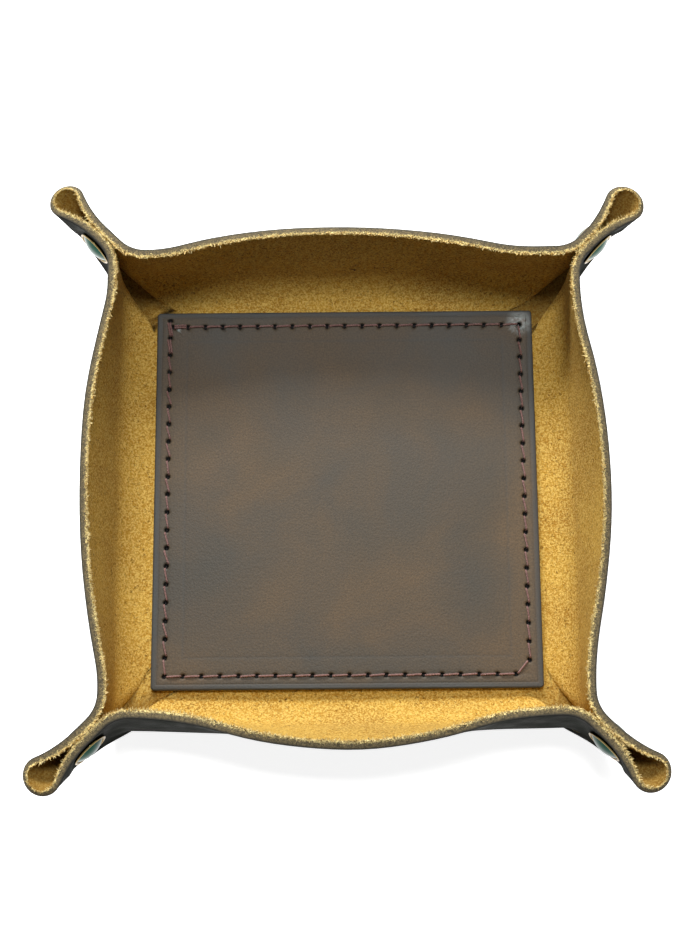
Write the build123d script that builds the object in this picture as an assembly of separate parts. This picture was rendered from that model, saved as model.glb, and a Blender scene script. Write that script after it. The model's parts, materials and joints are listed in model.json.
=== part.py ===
from build123d import *
from math import acos, atan, cos, pi, radians, sin, sqrt, tan
import os

# A square leather valet tray, in millimetres, +Z up. One leather sheet makes the floor, four bowed walls
# and four pinched ears. A pad is stitched to the floor. A press stud holds the two plies of each ear.
# The origin is under the middle of the floor, on the table.

# The sheet
LEATHER = 3.3                 # thickness of the tray leather
PLY_GAP = 0.3                 # slit between the two plies of an ear
RIM_HEIGHT = 41.0             # height of the cut edge above the table
OVERRUN = 2.0                 # how far a cutter runs past what it cuts

# The floor and the walls, as reaches from the middle of the tray
FLOOR_HALF = 77.0             # half the flat floor, to where the wall starts to turn up
FLOOR_BOW = 1.6               # how much further the flat floor reaches at mid side
WALL_BEND = 15.0              # outer radius of the turn from floor to wall
MID_SLOPE = 77.5              # degrees of the wall above the table at mid side
END_SLOPES = {"front": 99.0, "right": 92.5, "rear": 92.5, "left": 92.5}   # the same beside the ears
LEAST_BOW = 0.3               # least bow of a side at any height
BOW_MARGIN = 0.7              # least straight stretch between the bow of a side and the ear beside it
CONVEX_SHARES = {"front": 0.6, "right": 0.66, "rear": 0.78, "left": 0.86}   # of the bow, curving outwards

# The ears, with reaches along the diagonal
EAR_FOOT = 8.6                # from the corner of the flat floor to where the fold leaves the table
KEEL_BEND = 17.0              # radius of its turn upwards
KEEL_SLOPE = 47.0             # degrees of the fold above the table
JUNCTION_LOW = 2.5            # radius where a wall turns into the ear, at the table
JUNCTION_HIGH = 15.0          # the same at the rim
FLARE = 5.0                   # how much further apart the plies are at the table
FLARE_TOP = 22.0              # height above which the plies lie flat together
LOOP_HALF = 5.1               # half width of the open loop at the rim, to the middle of the leather
LOOP_NECK = 38.0              # radius of the loop's neck at the rim
LOOP_NECK_LOW = 6.0           # the same at the table
LOOP_LEAST = 0.03             # loop swelling that is left at the table
LOOP_GROWTH = 2.5             # power by which the loop opens with height
LEANS = {"front_right": 1.0, "rear_right": -1.5, "rear_left": -3.5, "front_left": -1.5}  # degrees

# The heights at which the outlines are drawn, as shares of the rim height
OUTER_SHARES = (0.0, 0.03, 0.08, 0.15, 0.24, 0.36, 0.54, 0.76, 1.0)
INNER_SHARES = (0.0, 0.04, 0.10, 0.18, 0.30, 0.50, 0.75, 1.0)

# The pad and its thread
PAD_MARGIN = 0.8              # from the pad's edge to where the walls start to turn up
PAD_THICKNESS = 3.0
PAD_CORNER = 1.5              # corner radius
PAD_BEVEL = 0.7               # bevel of its top edge
STITCH_MARGIN = 5.3           # from the pad's edge to the stitch line
STITCHES = 20                 # along a full side
CORNER_CUT = 5.4              # what the diagonal stitch takes off each side of the front right corner
THREAD = 0.9                  # thickness of the thread
THREAD_RISE = 0.45            # how far a stitch bulges at its middle
HOLE_PLAY = 0.1               # room round the thread in its hole
GROOVE_DEPTH = 1.1            # groove under the floor for the thread's lower run
GROOVE_PLAY = 0.3             # room on each side of the thread in that groove
THREAD_LIFT = 0.1             # the lower run's height above the table

# The press studs
EAR_ROOT = 8.1                # from the start of the fold to where the plies of an ear meet at the rim
CAP_RADIUS = 7.5
CAP_HEIGHT = 2.4
CAP_WALL = 0.5
CAP_ROLL = 0.45               # radius of the rolled rim
CAP_FOOT = 60                 # degrees below level at which the roll ends in a flat foot
CAP_PLAY = 0.02               # hairline between that foot and the leather
SEAT_PLAY = 0.15              # room round the cap where it presses the leather flat
SEAT_DEPTH = 0.15             # how deep the cap presses into the leather
POST_RADIUS = 1.9
POST_BORE = 1.2
POST_PLAY = 0.1               # room round the post in the leather and the metal
FLARE_WALL = 0.35             # thickness of the post's rolled end
POCKET_RADIUS = 6.3
POCKET_DEPTH = 1.9            # how deep the socket and the stud sink into a ply
SOCKET_RADIUS = 6.0
SOCKET_BORE = 3.5
SOCKET_MOUTH = -0.3           # its open end, measured from the slit towards the flap
SOCKET_GROOVE = 0.3           # depth of the spring's groove in the bore
BASE_PLATE = 0.45             # thickness of the socket's and the stud's base
STUD_BASE = 5.5
STUD_NECK = 2.6
STUD_HEAD = 2.85
STUD_BORE = 2.2
STUD_TOP = 0.85               # top of the stud, measured from the slit towards the flap
STUD_ROOF = 0.4               # thickness of the stud's top
PLATE_PLAY = 0.05             # room between a base plate and the bottom of its pocket

# The flap, which is the ply that peels open
FLAP_EDGE = 7.0               # from the stud's axis to its edge beside the wall
FLAP_MARGIN = 2.0             # from the cap's rim to its edge towards the loop
HINGE_INSET = 1.0             # from the fold's outer edge to the line that it peels about
FLAP_OPEN = 16.0              # degrees that it peels open
FLAP_SPARE = 1.0              # degrees that its relief is cut past that
FLAP_CLEARANCE = 0.2          # knife cut round it, twice this at the edge beside the wall
FLAP_REACH = 12.0             # how far the cutter reaches out from the slit

CORNERS = {"front_right": (1, -1), "rear_right": (1, 1), "rear_left": (-1, 1), "front_left": (-1, -1)}
FLAP_SIDES = {"front_right": 1, "rear_right": 1, "rear_left": -1, "front_left": -1}
HALF_PLY = LEATHER / 2 + PLY_GAP / 2
PAD_TOP = LEATHER + PAD_THICKNESS
PAD_SIDE = 2 * (FLOOR_HALF - PAD_MARGIN)
STITCH_HALF = PAD_SIDE / 2 - STITCH_MARGIN
KEEL_START = sqrt(2) * FLOOR_HALF + EAR_FOOT


def profile(height, start, radius, slope, inner):
    """Reach of a wall that turns up from the table by an arc and then runs straight."""
    turn = radians(slope)
    arc = radius - LEATHER if inner else radius
    arc_top = radius - arc * cos(turn)
    if height <= arc_top:
        return start + sqrt(max(arc**2 - (radius - height) ** 2, 0))
    return start + arc * sin(turn) + (height - arc_top) / tan(turn)


def ear_measures(height, inner):
    """Ply offset, loop radius, neck radius, tip and junction radius of an ear at a height."""
    share = height / RIM_HEIGHT
    side = -1 if inner else 1
    spread = FLARE * max(1 - height / FLARE_TOP, 0) ** 2
    middle = HALF_PLY + spread
    swell = LOOP_LEAST + (LOOP_HALF - HALF_PLY - LOOP_LEAST) * share**LOOP_GROWTH
    offset = middle + side * LEATHER / 2
    loop = middle + swell + side * LEATHER / 2
    neck = LOOP_NECK_LOW + (LOOP_NECK - LOOP_NECK_LOW) * share - side * LEATHER / 2
    tip = profile(height, KEEL_START, KEEL_BEND, KEEL_SLOPE, inner)
    if inner:
        tip += LEATHER * (1 / sin(radians(KEEL_SLOPE)) - 1) * share**2
    junction = JUNCTION_LOW + (JUNCTION_HIGH - JUNCTION_LOW) * share - side * LEATHER / 2
    return offset, loop, neck, tip, junction


def side_point(side, along, out):
    """A point of a side, from its place along the side and its reach outwards."""
    return {
        "front": (along, -out),
        "right": (out, along),
        "rear": (-along, out),
        "left": (-out, -along),
    }[side]


def straight_end(end, offset, junction):
    """Where the straight run of a side ends and starts to turn into the ear."""
    return end - offset * sqrt(2) - (sqrt(2) - 1) * junction


def arc_edge(centre, radius, first, last, place):
    """An arc edge between two angles, given its centre, with a function that places its points."""
    angles = (first, (first + last) / 2, last)
    points = [place(centre[0] + radius * cos(a), centre[1] + radius * sin(a)) for a in angles]
    return Edge.make_three_point_arc(*points)


def side_edges(side, height, inner, start_offset, end_offset):
    """Edges of one side at a height, from the end of one ear's ply to the start of the next."""
    mid = profile(height, FLOOR_HALF + FLOOR_BOW, WALL_BEND, MID_SLOPE, inner)
    end = profile(height, FLOOR_HALF, WALL_BEND, END_SLOPES[side], inner)
    junction = ear_measures(height, inner)[4]
    left, right = (straight_end(end, offset, junction) for offset in (start_offset, end_offset))
    bow = max(mid - end, LEAST_BOW)
    half = min(left, right) - BOW_MARGIN
    angle = 2 * atan(bow / half)
    radii = half / sin(angle)
    convex = radii * CONVEX_SHARES[side]
    concave = radii - convex

    def place(along, out):
        return Vector(*side_point(side, along, out), height)

    quarter = pi / 4
    return [
        arc_edge((-left, end + junction), junction, -pi / 2 - quarter, -pi / 2, place),
        Edge.make_line(place(-left, end), place(-half, end)),
        arc_edge((-half, end + concave), concave, -pi / 2, -pi / 2 + angle, place),
        arc_edge((0, end + bow - convex), convex, pi / 2 + angle, pi / 2 - angle, place),
        arc_edge((half, end + concave), concave, -pi / 2 - angle, -pi / 2, place),
        Edge.make_line(place(half, end), place(right, end)),
        arc_edge((right, end + junction), junction, -pi / 2, -pi / 2 + quarter, place),
    ]


def lean_shift(corner, height):
    """How far an ear's slit stands off the diagonal at a height, because the ear leans."""
    return height * tan(radians(LEANS[corner]))


def diagonal(corner):
    """Unit vectors along an ear and across it, the second towards the next side."""
    x, y = CORNERS[corner]
    along = Vector(x, y, 0).normalized()
    return along, Vector(-along.Y, along.X, 0)


def ear_edges(corner, height, inner, first_point, last_point):
    """Edges of one ear at a height: ply, neck, loop, neck, ply."""
    offset, loop, neck, tip, _ = ear_measures(height, inner)
    along, across = diagonal(corner)
    shift = lean_shift(corner, height)
    turn = acos((offset + neck) / (loop + neck))
    centre = tip - loop
    splay = centre - (loop + neck) * sin(turn)

    def place(s, v):
        return along * s + across * (v + shift) + Vector(0, 0, height)

    return [
        Edge.make_line(first_point, place(splay, -offset)),
        arc_edge((splay, -offset - neck), neck, pi / 2, pi / 2 - turn, place),
        arc_edge((centre, 0), loop, -pi / 2 - turn, 0, place),
        arc_edge((centre, 0), loop, 0, pi / 2 + turn, place),
        arc_edge((splay, offset + neck), neck, -pi / 2 + turn, -pi / 2, place),
        Edge.make_line(place(splay, offset), last_point),
    ]


def outline(height, inner):
    """The closed outline of the sheet's outer or inner face at a height."""
    offset = ear_measures(height, inner)[0]
    sides = ("front", "right", "rear", "left")
    corners = ("front_right", "rear_right", "rear_left", "front_left")
    runs = {}
    for side, before, after in zip(sides, corners[-1:] + corners[:-1], corners):
        start = offset + lean_shift(before, height)
        end = offset - lean_shift(after, height)
        runs[side] = side_edges(side, height, inner, start, end)
    edges = []
    for number, corner in enumerate(corners):
        here, following = runs[sides[number]], runs[sides[(number + 1) % len(sides)]]
        edges += here
        edges += ear_edges(corner, height, inner, here[-1] @ 1, following[0] @ 0)
    return Wire(edges)


def ear_frame(corner):
    """Along the ear, up its leaning slit, and out of the slit towards the flap."""
    along, across = diagonal(corner)
    lean = radians(LEANS[corner])
    up = across * sin(lean) + Vector(0, 0, cos(lean))
    out = across * cos(lean) - Vector(0, 0, sin(lean))
    return along, up, out * FLAP_SIDES[corner]


def keel_point(height):
    """Reach of the fold's outer edge at a height on its straight part."""
    return profile(height, KEEL_START, KEEL_BEND, KEEL_SLOPE, False)


def snap_place():
    """Reach and height of a stud's axis, in the middle of the widest circle that fits the ear."""
    start = KEEL_START + EAR_ROOT
    length = keel_point(RIM_HEIGHT) - start
    slope = radians(KEEL_SLOPE)
    radius = length * (1 + tan(slope) - 1 / cos(slope)) / 2
    return start + radius, RIM_HEIGHT - radius


def snap_plane(corner):
    """A plane on the press stud's axis, in the slit, facing the flap."""
    along, up, out = ear_frame(corner)
    reach, height = snap_place()
    origin = along * reach + up * (height / cos(radians(LEANS[corner])))
    return Plane(origin=origin, x_dir=along, z_dir=out)


def seat_distance(corner):
    """Distance from the slit's middle to the seat that a cap presses into a ply."""
    return (PLY_GAP / 2 + LEATHER) * cos(radians(LEANS[corner])) - SEAT_DEPTH


def prism(corner, corners_su, near, far):
    """A prism across the ear, from its corners along and up the slit and two distances from the slit."""
    along, up, out = ear_frame(corner)
    points = [along * s + up * u + out * near for s, u in corners_su]
    return Solid.extrude(Face(Wire.make_polygon(points, close=True)), out * (far - near))


def hinge_line():
    """A point on the peel line and the unit vectors along the fold and up from it, in the slit's plane."""
    slope = radians(KEEL_SLOPE)
    height = snap_place()[1]
    along, up = (cos(slope), sin(slope)), (-sin(slope), cos(slope))
    point = (keel_point(height) + up[0] * HINGE_INSET, height + up[1] * HINGE_INSET)
    return point, along, up


def flap_outline(grow):
    """Corners of the flap's shape in the slit's plane, grown by a clearance."""
    (s0, u0), along, up = hinge_line()
    snap_reach, snap_height = snap_place()
    start = snap_reach - FLAP_EDGE - 2 * grow
    snap_along = (snap_reach - s0) * along[0] + (snap_height - u0) * along[1]
    reach = snap_along + CAP_RADIUS + FLAP_MARGIN + grow
    top = RIM_HEIGHT + 3 * OVERRUN

    def on_fold(t, lift):
        return s0 + along[0] * t + up[0] * lift, u0 + along[1] * t + up[1] * lift

    low = on_fold((start - s0) / along[0], 0)
    first = (start, low[1] - grow / along[0])
    second = on_fold(reach, -grow)
    rise = (top - second[1]) / up[1]
    third = (second[0] + up[0] * rise, top)
    return [first, second, third, (start, top)]


def flap_relief(corner):
    """The wedge outside the peel line that lets the flap swing."""
    (s0, u0), along, up = hinge_line()
    axis_out = PLY_GAP / 2 + LEATHER / 2
    swing = tan(radians(FLAP_OPEN + FLAP_SPARE))
    ear_along, ear_up, out = ear_frame(corner)

    def place(t, lift, distance):
        s, u = s0 + along[0] * t + up[0] * lift, u0 + along[1] * t + up[1] * lift
        return ear_along * s + ear_up * u + out * distance

    depth = FLAP_REACH - axis_out
    t0 = (snap_place()[0] - FLAP_EDGE - s0) / along[0] - FLAP_REACH
    points = [place(t0, 0, axis_out), place(t0, 0, FLAP_REACH), place(t0, depth * swing, FLAP_REACH)]
    length = (place(t0 + 5 * FLAP_REACH, 0, axis_out) - points[0])
    return Solid.extrude(Face(Wire.make_polygon(points, close=True)), length)


def ring_profile(points):
    """A solid of revolution from a closed profile of (radius, height) points."""
    face = Face(Wire.make_polygon([Vector(r, 0, z) for r, z in points], close=True))
    return Solid.revolve(face, 360, Axis.Z)


def disc(radius, low, high):
    """A cylinder on the axis between two heights."""
    return Pos(0, 0, low) * Cylinder(radius, high - low, align=(Align.CENTER, Align.CENTER, Align.MIN))


def cap(seat, flare_low):
    """Domed cap with a rolled rim that sits at a height, and the hollow post that grips through the leather."""
    low = seat + CAP_PLAY
    roll_height = low + CAP_ROLL * sin(radians(CAP_FOOT))
    base = CAP_RADIUS - 2 * CAP_ROLL
    rise = seat + CAP_HEIGHT - roll_height
    dome = (base**2 + rise**2) / (2 * rise)
    inside = dome - CAP_WALL
    centre = seat + CAP_HEIGHT - dome

    def on_dome(radius, reach):
        return Vector(reach, 0, centre + sqrt(radius**2 - reach**2))

    def on_roll(degrees):
        turn = radians(degrees)
        return Vector(CAP_RADIUS - CAP_ROLL + CAP_ROLL * cos(turn), 0, roll_height + CAP_ROLL * sin(turn))

    ceiling = on_dome(inside, POST_BORE).Z
    flare_top = flare_low + FLARE_WALL
    flare = STUD_BORE - PLATE_PLAY
    shell_end = base - CAP_WALL
    corners = [
        on_dome(dome, 0), Vector(0, 0, ceiling), Vector(POST_BORE, 0, ceiling), Vector(POST_BORE, 0, flare_low),
        Vector(flare, 0, flare_low), Vector(flare, 0, flare_top), Vector(POST_RADIUS, 0, flare_top),
        on_dome(inside, POST_RADIUS),
    ]
    edges = [
        Edge.make_line(on_roll(-180 + CAP_FOOT), on_roll(-CAP_FOOT)),
        Edge.make_three_point_arc(on_roll(-CAP_FOOT), on_roll(0), on_roll(90)),
        Edge.make_three_point_arc(on_roll(90), on_roll(135), on_roll(180)),
        Edge.make_three_point_arc(on_dome(dome, base), on_dome(dome, base / 2), on_dome(dome, 0)),
    ]
    edges += [Edge.make_line(first, last) for first, last in zip(corners, corners[1:])]
    edges.append(Edge.make_three_point_arc(corners[-1], on_dome(inside, shell_end / 2), on_dome(inside, shell_end)))
    edges.append(Edge.make_line(on_dome(inside, shell_end), on_roll(-180 + CAP_FOOT)))
    return Solid.revolve(Face(Wire(edges)), 360, Axis.Z)


def socket():
    """Ring with a spring groove, open towards the slit and riveted to the flap."""
    plate_top = PLY_GAP / 2 + POCKET_DEPTH - PLATE_PLAY
    plate = plate_top - BASE_PLATE
    groove = (SOCKET_MOUTH + plate) / 2
    bore, hole = SOCKET_BORE, POST_RADIUS + POST_PLAY
    lip = SOCKET_GROOVE
    return ring_profile([
        (hole, plate_top), (SOCKET_RADIUS, plate_top), (SOCKET_RADIUS, SOCKET_MOUTH + lip),
        (SOCKET_RADIUS - lip, SOCKET_MOUTH), (bore + lip, SOCKET_MOUTH), (bore, SOCKET_MOUTH + lip),
        (bore, groove - lip), (bore + lip, groove), (bore, groove + lip), (bore, plate), (hole, plate),
    ])


def stud():
    """Hollow stud with a waisted neck, riveted to the ply that stays."""
    base = -(PLY_GAP / 2 + POCKET_DEPTH - PLATE_PLAY)
    plate = base + BASE_PLATE
    hole = POST_RADIUS + POST_PLAY
    waist = STUD_HEAD - STUD_NECK
    return ring_profile([
        (hole, base), (STUD_BASE, base), (STUD_BASE, plate), (STUD_NECK, plate),
        (STUD_NECK, STUD_TOP - 3 * waist), (STUD_HEAD, STUD_TOP - 2 * waist), (STUD_HEAD, STUD_TOP - waist),
        (STUD_NECK, STUD_TOP), (0, STUD_TOP), (0, STUD_TOP - STUD_ROOF), (STUD_BORE, STUD_TOP - STUD_ROOF),
        (STUD_BORE, plate), (hole, plate),
    ])


def snap_parts(corner):
    """The four metal pieces of one press stud and the cutters for the two plies."""
    plane = snap_plane(corner)
    seat = seat_distance(corner)
    sink = PLY_GAP / 2 + POCKET_DEPTH - PLATE_PLAY - BASE_PLATE - FLARE_WALL
    outer_cap = cap(seat, sink)
    turned = Rot(180, 0, 0) * cap(seat, sink)
    pocket = POCKET_DEPTH + PLY_GAP / 2
    bore = disc(POST_RADIUS + POST_PLAY, -seat - OVERRUN, seat + OVERRUN)
    pockets = disc(POCKET_RADIUS, -pocket, pocket)
    seats = disc(CAP_RADIUS + SEAT_PLAY, seat, seat + CAP_HEIGHT)
    seats += disc(CAP_RADIUS + SEAT_PLAY, -seat - CAP_HEIGHT, -seat)
    pieces = {"flap_cap": outer_cap, "socket": socket(), "stud": stud(), "fixed_cap": turned}
    place = plane.location
    return {name: place * piece for name, piece in pieces.items()}, place * (bore + pockets + seats)


def stitch_runs():
    """The four straight runs of holes: first hole, direction and number of stitches and their pitch."""
    full = 2 * STITCH_HALF
    short = full - CORNER_CUT
    h = STITCH_HALF
    return [
        ((-h, -h), (1, 0), STITCHES - 1, short / (STITCHES - 1)),
        ((h, -h + CORNER_CUT), (0, 1), STITCHES - 1, short / (STITCHES - 1)),
        ((h, h), (-1, 0), STITCHES, full / STITCHES),
        ((-h, h), (0, -1), STITCHES, full / STITCHES),
    ]


def run_thread(length, count):
    """Thread of one run in its own plane: bulging stitches above, a flat run below, legs in the holes."""
    half = THREAD / 2
    pitch = length / count
    low, low_top = THREAD_LIFT, THREAD_LIFT + THREAD
    edges = [Edge.make_line(Vector(-half, PAD_TOP, 0), Vector(-half, low, 0))]
    edges.append(Edge.make_line(Vector(-half, low, 0), Vector(length + half, low, 0)))
    edges.append(Edge.make_line(Vector(length + half, low, 0), Vector(length + half, PAD_TOP, 0)))
    dip = PAD_TOP + half
    edges.append(Edge.make_line(Vector(length + half, PAD_TOP, 0), Vector(length + half, dip, 0)))
    here = Vector(length + half, dip, 0)
    for number in range(count, 0, -1):
        x = pitch * (number - 1) - (half if number == 1 else 0)
        there = Vector(x, dip, 0)
        middle = Vector((here.X + x) / 2, dip + THREAD_RISE, 0)
        edges.append(Edge.make_three_point_arc(here, middle, there))
        here = there
    edges.append(Edge.make_line(here, Vector(-half, PAD_TOP, 0)))
    body = Face(Wire(edges))
    window = PAD_TOP - low_top
    for number in range(count):
        centre = Pos(pitch * (number + 0.5), low_top + window / 2)
        body -= centre * Rectangle(pitch - THREAD, window)
    return extrude(body, THREAD / 2, both=True)


def run_place(start, direction):
    """The standing plane through a run of holes."""
    return Plane(origin=(*start, 0), x_dir=(*direction, 0), z_dir=Vector(*direction, 0).cross(Vector(0, 0, 1)))


def box_between(first, last, width, low, high):
    """A box along a line on the plan, with square ends past its two points."""
    first, last = Vector(*first, 0), Vector(*last, 0)
    span = last - first
    middle = (first + last) / 2
    plane = Plane(origin=middle + Vector(0, 0, low), x_dir=span.normalized(), z_dir=(0, 0, 1))
    solid = Box(span.length + width, width, high - low, align=(Align.CENTER, Align.CENTER, Align.MIN))
    return plane.location * solid


def diagonal_ends():
    """The two holes that the diagonal stitch joins."""
    h = STITCH_HALF
    return (h - CORNER_CUT, -h), (h, -h + CORNER_CUT)


def pad_thread():
    """The whole thread, with the diagonal stitch across one corner."""
    runs = [
        run_place(start, direction).location * run_thread(count * pitch, count)
        for start, direction, count, pitch in stitch_runs()
    ]
    first, last = diagonal_ends()
    runs.append(box_between(first, last, THREAD, PAD_TOP, PAD_TOP + THREAD))
    runs.append(box_between(first, last, THREAD, THREAD_LIFT, THREAD_LIFT + THREAD))
    thread = runs[0]
    for run in runs[1:]:
        thread += run
    return thread


def stitch_holes():
    """Square awl holes through the pad and the floor."""
    side = THREAD + 2 * HOLE_PLAY
    cutter = Box(side, side, PAD_TOP + 2 * OVERRUN, align=(Align.CENTER, Align.CENTER, Align.MIN))
    places = []
    for (x, y), (dx, dy), count, pitch in stitch_runs():
        places += [(x + dx * pitch * n, y + dy * pitch * n) for n in range(count + 1)]
    kept = []
    for x, y in places:
        if all(abs(x - a) + abs(y - b) > THREAD for a, b in kept):
            kept.append((x, y))
    return [Pos(x, y, -OVERRUN) * cutter for x, y in kept]


def thread_groove():
    """The groove under the floor that keeps the thread off the table."""
    width = THREAD + 2 * GROOVE_PLAY
    legs = []
    for start, direction, count, pitch in stitch_runs():
        end = tuple(a + d * count * pitch for a, d in zip(start, direction))
        legs.append(box_between(start, end, width, -OVERRUN, GROOVE_DEPTH))
    legs.append(box_between(*diagonal_ends(), width, -OVERRUN, GROOVE_DEPTH))
    return legs


def floor_pad():
    """The pad with rounded corners, a bevelled top edge and its stitch holes."""
    outline_face = RectangleRounded(PAD_SIDE, PAD_SIDE, PAD_CORNER)
    pad = Pos(0, 0, LEATHER) * extrude(outline_face, PAD_THICKNESS)
    pad = chamfer(pad.faces().sort_by(Axis.Z)[-1].edges(), PAD_BEVEL)
    return pad - stitch_holes()


def folded_sheet():
    """The sheet folded to shape, before anything is cut in it."""
    outer = Solid.make_loft([outline(RIM_HEIGHT * share, False) for share in OUTER_SHARES])
    depth = RIM_HEIGHT - LEATHER
    heights = [LEATHER + depth * share for share in INNER_SHARES]
    inner = Solid.make_loft([outline(height, True) for height in heights + [RIM_HEIGHT + OVERRUN]])
    return outer - inner


def build():
    """All named pieces."""
    pieces = {}
    sheet = folded_sheet()
    clean_sheet = sheet
    for corner in CORNERS:
        metal, cutter = snap_parts(corner)
        flap = clean_sheet & prism(corner, flap_outline(0), 0, FLAP_REACH)
        pieces[f"{corner}_flap"] = flap - flap_relief(corner) - cutter
        sheet -= prism(corner, flap_outline(FLAP_CLEARANCE), -PLY_GAP / 4, FLAP_REACH)
        sheet -= cutter
        for name, piece in metal.items():
            pieces[f"{corner}_{name}"] = piece
    pieces["tray_leather"] = sheet - (thread_groove() + stitch_holes())
    pieces["floor_pad"] = floor_pad()
    pieces["pad_thread"] = pad_thread()
    return pieces


if __name__ == "__main__":
    os.makedirs("parts", exist_ok=True)
    for name, piece in build().items():
        export_step(Part() + piece, f"parts/{name}.step")
        print(name, len(piece.solids()), round(piece.volume, 1))
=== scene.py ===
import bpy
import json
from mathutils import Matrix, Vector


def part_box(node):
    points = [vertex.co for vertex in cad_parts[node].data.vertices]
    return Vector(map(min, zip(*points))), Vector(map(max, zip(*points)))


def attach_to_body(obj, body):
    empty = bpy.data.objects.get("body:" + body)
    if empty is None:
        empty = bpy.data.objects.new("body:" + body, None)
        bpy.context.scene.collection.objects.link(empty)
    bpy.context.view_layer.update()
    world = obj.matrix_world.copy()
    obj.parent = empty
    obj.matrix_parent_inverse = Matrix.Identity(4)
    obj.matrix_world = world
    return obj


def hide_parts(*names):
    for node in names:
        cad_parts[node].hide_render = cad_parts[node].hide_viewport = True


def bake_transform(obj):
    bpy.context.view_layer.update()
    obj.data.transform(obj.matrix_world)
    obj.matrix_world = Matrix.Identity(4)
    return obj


bl_info = {
    "name": "Leather valet tray",
    "version": (1, 0, 0),
    "blender": (4, 5, 0),
    "location": "3D View > Sidebar > Valet Tray",
    "description": "Dresses a square leather tray with pinched ears, press studs and a stitched pad",
    "category": "Object",
}

import json
from functools import partial
from math import acos, atan2, cos, pi, radians, sin, sqrt, tan

import bmesh
import bpy
import numpy as np
from mathutils import Matrix, Vector

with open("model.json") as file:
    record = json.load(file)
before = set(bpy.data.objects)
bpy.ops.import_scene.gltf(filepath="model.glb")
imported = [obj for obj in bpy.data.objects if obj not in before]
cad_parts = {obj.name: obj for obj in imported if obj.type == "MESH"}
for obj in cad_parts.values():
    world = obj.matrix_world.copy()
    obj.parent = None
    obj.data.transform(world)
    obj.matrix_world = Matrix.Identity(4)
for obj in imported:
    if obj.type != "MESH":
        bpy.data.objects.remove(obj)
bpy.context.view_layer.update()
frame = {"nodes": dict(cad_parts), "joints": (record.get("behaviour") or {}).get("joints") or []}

MM = 0.001

# The sheet, in millimetres. Its middle layer is drawn first and each face lies half a leather off it.
LEATHER = 3.3
PLY_GAP = 0.3
RIM_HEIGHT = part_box("tray_leather")[1].z / MM
FLOOR_HALF = 77.0
FLOOR_BOW = 1.6
WALL_BEND = 15.0
MID_SLOPE = 77.5
END_SLOPES = {"front": 99.0, "right": 92.5, "rear": 92.5, "left": 92.5}
LEAST_BOW = 0.3
BOW_MARGIN = 0.7
CONVEX_SHARES = {"front": 0.6, "right": 0.66, "rear": 0.78, "left": 0.86}
KEEL = (117.5, 17.0, 47.0)  # reach, radius of the bend and slope of an ear's tip
JUNCTIONS = (6.0, 15.0)  # radius between wall and ear at the floor and at the rim
FLARE = 5.0
FLARE_TOP = 22.0
LOOP_HALVES = {"front_right": 6.2, "rear_right": 6.2, "rear_left": 5.6, "front_left": 6.0}
LOOP_NECKS = (6.0, 48.0)  # radius between ply and loop at the floor and at the rim
LOOP_LEAST = 0.03
LOOP_GROWTH = 2.5
LEANS = {"front_right": 1.0, "rear_right": -1.5, "rear_left": -3.5, "front_left": -1.5}
HALF_PLY = LEATHER / 2 + PLY_GAP / 2
LOOP_THIN = 0.9  # how much thinner the leather is where it is stretched round a loop
THIN_HEIGHTS = (8.0, 34.0)  # it is thinned from the first of these heights, and wholly over the second
CREASE_REACHES = (96.0, 108.0)  # the creases at an ear's foot are relaxed more and more between these
CREASE_HEIGHTS = (6.0, 24.0)  # and less and less between these heights
RELAXING = 12  # passes
BOW_SKEWS = {"front": 0.0, "right": 0.0, "rear": 5.0, "left": -4.0}  # how far a bow leans along its side
TIP_DIP = 0.8  # how much lower the cut edge runs round the tip of an ear
EDGE_ROUND = 0.3  # how far the cut edge bulges
RIPPLE = 0.22  # how far the hand-folded leather wanders
RIPPLE_SIZE = 34.0
RIPPLE_HEIGHTS = (2.0, 16.0)  # it lies flat under the first of these heights, and not at all over the second

# Steps of the mesh along each edge of the outline, and up the wall
SIDE_STEPS = (7, 5, 14, 18, 14, 5, 7)
EAR_STEPS = (12, 8, 12, 12, 8, 12)
BEND_ROWS = 14
WALL_ROWS = 22
BEND_TOP = 14.0
EDGE_SHARES = (-0.97, -0.86, -0.6, -0.2, 0.2, 0.6, 0.86, 0.97)

SIDES = ("front", "right", "rear", "left")
CORNERS = {"front_right": (1, -1), "rear_right": (1, 1), "rear_left": (-1, 1), "front_left": (-1, -1)}
FLAP_SIDES = {"front_right": 1, "rear_right": 1, "rear_left": -1, "front_left": -1}

# The part of an ear's ply that bends when its stud is pulled off, as reaches along the diagonal
PLY_START = 121.5
PLY_HELD = 131.0
PLY_SPLIT = 137.0
PLY_FREE = 143.5
PLY_END = 155.0
CUT_SPARE = 6.0  # how far beyond the ply the faces are also cut
CUT_SIDE = 2.0  # and how far past the ear's middle plane

# The loose fibres, in millimetres
FIBRE_ROOT = 0.15
FIBRE_SEED = 31
FIBRE_LEAN = (0.55, 0.65)  # how far they lean up and inwards
FIBRE_SPREAD = 0.55  # and how unevenly
FIBRE_MOST = 1.7  # the longest, as a share of the given length

# The pad, in millimetres, from its box in the frame
PAD_LOW, PAD_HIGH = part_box("floor_pad")
PAD_HALF = (PAD_HIGH.x - PAD_LOW.x) / 2 / MM
PAD_BASE = PAD_LOW.z / MM
PAD_TOP = PAD_HIGH.z / MM
PAD_CORNER = 1.5
PAD_ROUND = 0.75  # radius of its top edge
PAD_WAVE = 0.09  # how far its top wanders
PAD_WAVE_SIZE = 46.0
STITCH_MARGIN = 5.3
STITCHES = 20
CORNER_CUT = 5.4
CREASE_MARGIN = 2.2
RULED_MARGIN = 12.4
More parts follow.
